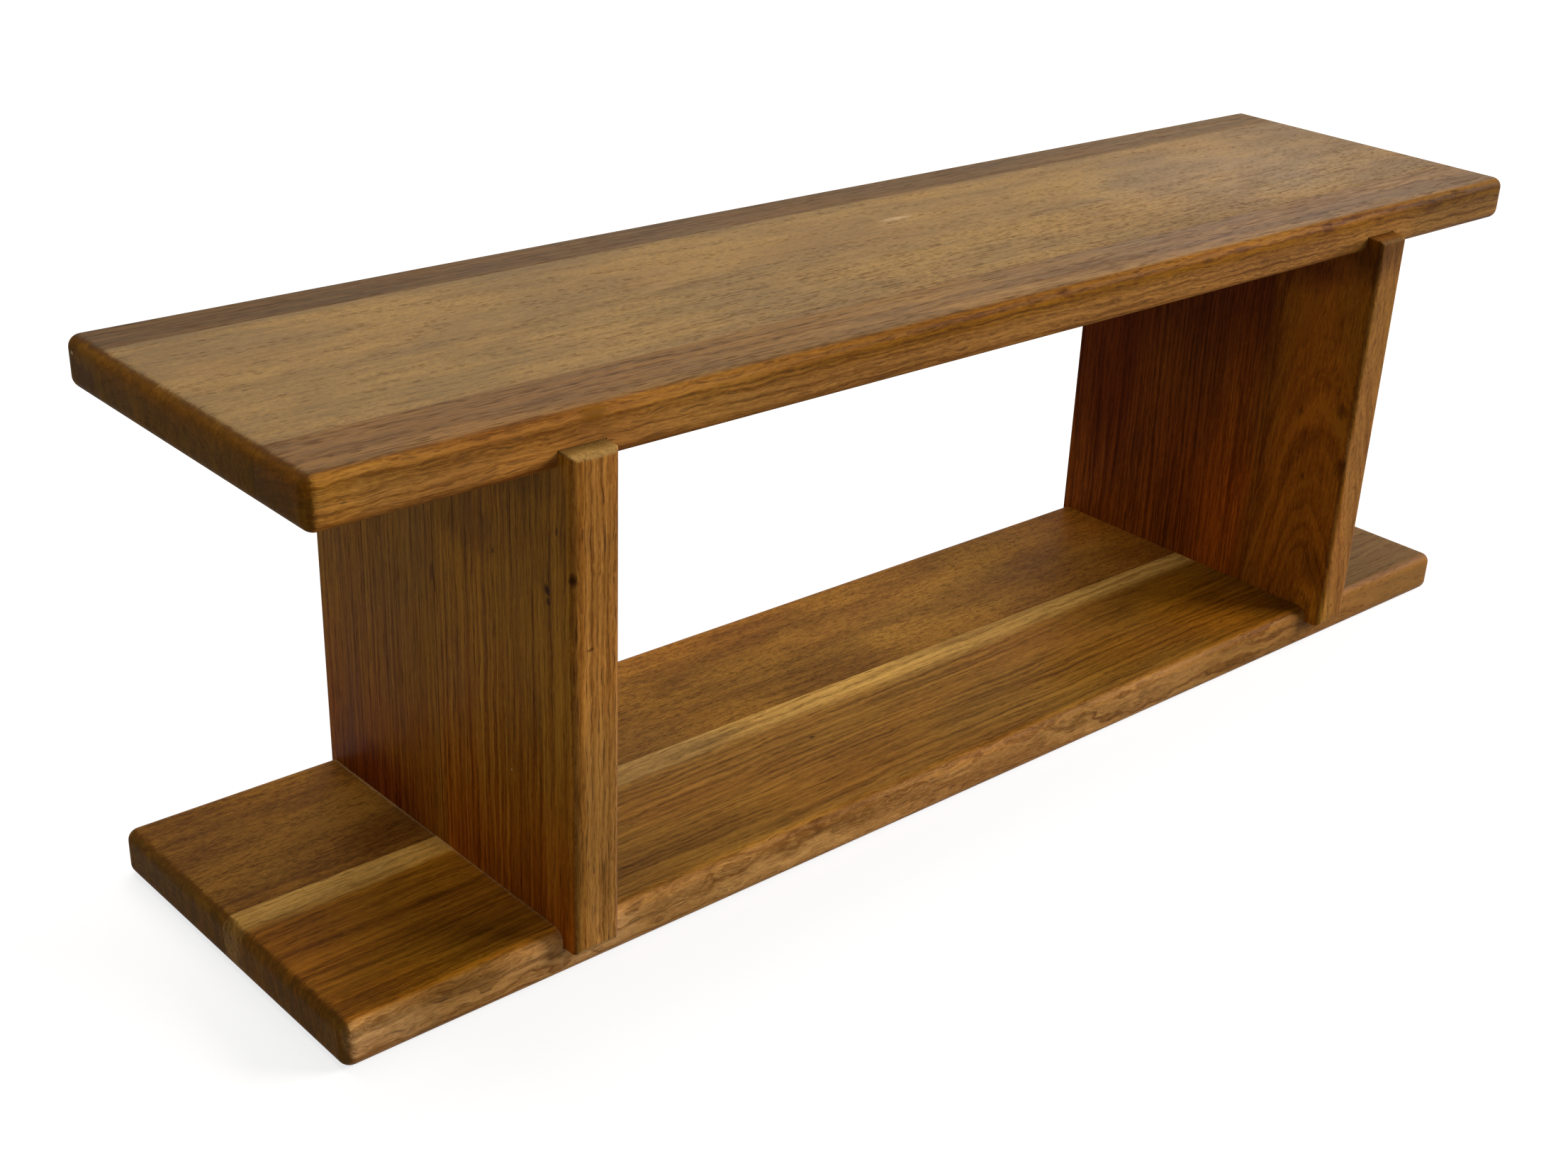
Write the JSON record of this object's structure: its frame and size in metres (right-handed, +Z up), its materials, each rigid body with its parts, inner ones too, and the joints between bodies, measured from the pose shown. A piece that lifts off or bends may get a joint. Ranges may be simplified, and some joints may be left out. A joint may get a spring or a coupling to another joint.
{
  "type": "wall bookshelf",
  "caption": "Solid oak wall shelf: upper and lower boards with rounded edges, joined by upright panels housed in both, with overhanging ends and keyhole hanging plates at the back.",
  "frame": {"origin": "under the middle of the overall box, on the surface that the lower shelf rests on", "axes": "+X along the shelf, to the right as seen from the front; +Y towards the wall; +Z up"},
  "size_m": [0.806, 0.21, 0.271],
  "materials": {
    "oak_top_front": "satin oil, pinkish brown oak with short dark pores",
    "oak_top_middle": "satin oil, golden tan oak with fine pores and ray fleck",
    "oak_top_rear": "satin oil, mid brown oak",
    "oak_bottom_front": "satin oil, streaky brown oak with a pale sapwood edge",
    "oak_bottom_rear": "satin oil, finely mottled brown oak",
    "oak_panel_front": "satin oil, olive brown oak",
    "oak_panel_rear": "satin oil, reddish brown oak with dark vertical pores",
    "hanger_steel": "bright zinc plated sheet",
    "screw_steel": "yellow zinc plated"
  },
  "bodies": {
    "root": {"top_shelf_front_stave": "oak_top_front", "top_shelf_middle_stave": "oak_top_middle", "top_shelf_rear_stave": "oak_top_rear", "bottom_shelf_front_stave": "oak_bottom_front", "bottom_shelf_rear_stave": "oak_bottom_rear", "left_panel_front_stave": "oak_panel_front", "left_panel_rear_stave": "oak_panel_rear", "right_panel_front_stave": "oak_panel_front", "right_panel_rear_stave": "oak_panel_rear", "left_hanger_plate": "hanger_steel", "right_hanger_plate": "hanger_steel", "left_hanger_screw_upper": "screw_steel", "left_hanger_screw_lower": "screw_steel", "right_hanger_screw_upper": "screw_steel", "right_hanger_screw_lower": "screw_steel"}
  },
  "joints": []
}
